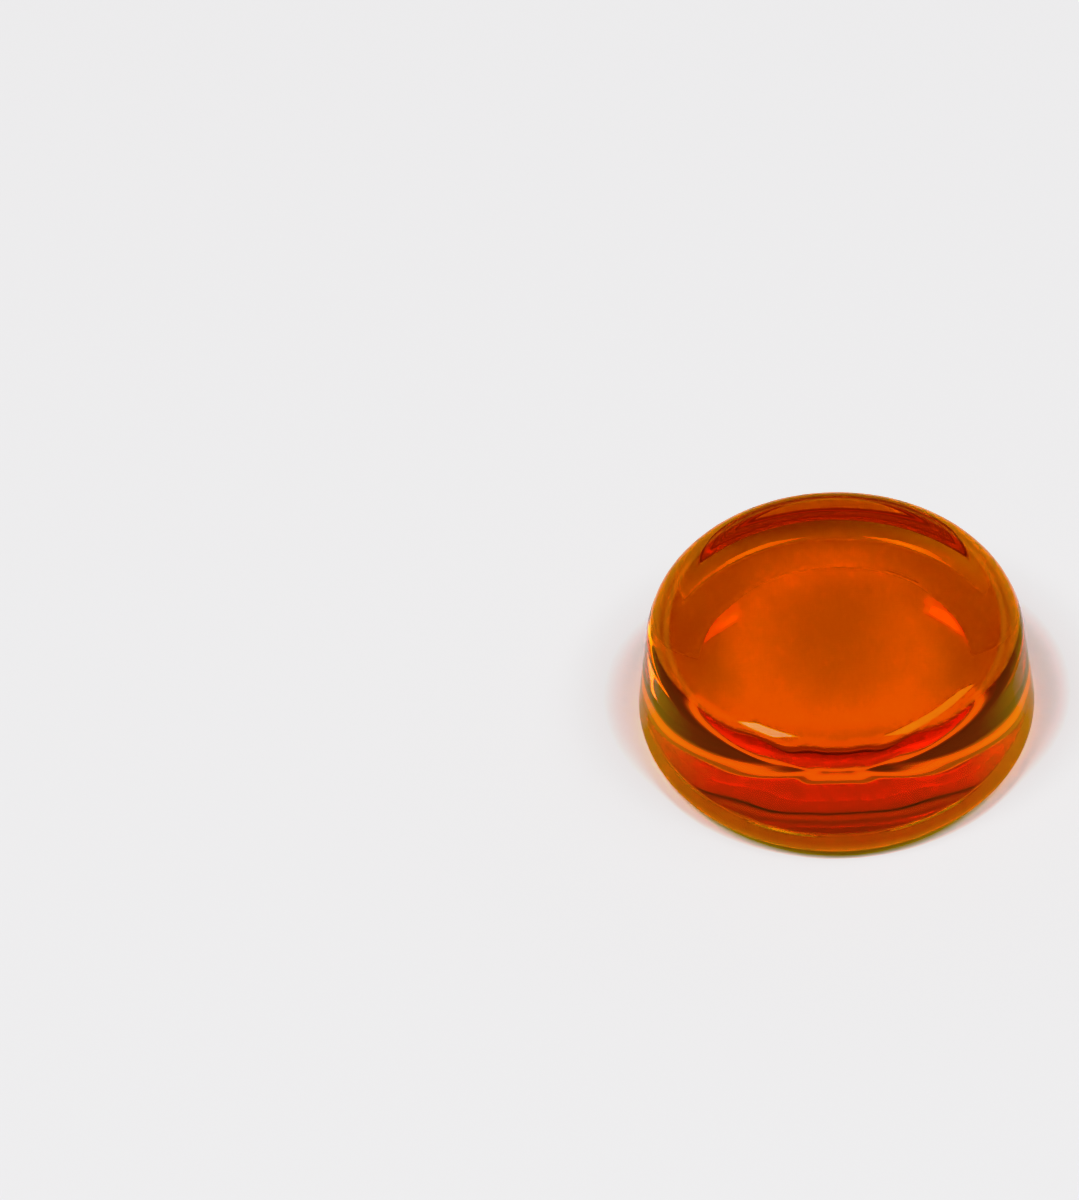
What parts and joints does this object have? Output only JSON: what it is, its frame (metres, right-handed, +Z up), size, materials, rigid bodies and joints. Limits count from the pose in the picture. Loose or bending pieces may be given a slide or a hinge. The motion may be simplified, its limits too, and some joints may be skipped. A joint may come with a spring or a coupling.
{
  "type": "bow rosin cake",
  "caption": "Round cast cake of clear amber bow rosin: a low tapered puck with a rounded shoulder, lying on its wider, slightly hollow face.",
  "frame": {"origin": "centre of the ring the cake stands on, at the level of the surface under it", "axes": "+Z up along the cake's axis, from the wider face it rests on to the narrower top face; +X and +Y are any two square directions, as the cake is round"},
  "size_m": [0.0384, 0.0384, 0.0148],
  "materials": {
    "rosin": "clear amber rosin, smooth and glossy as cast"
  },
  "bodies": {
    "root": {"rosin_cake": "rosin"}
  },
  "joints": []
}
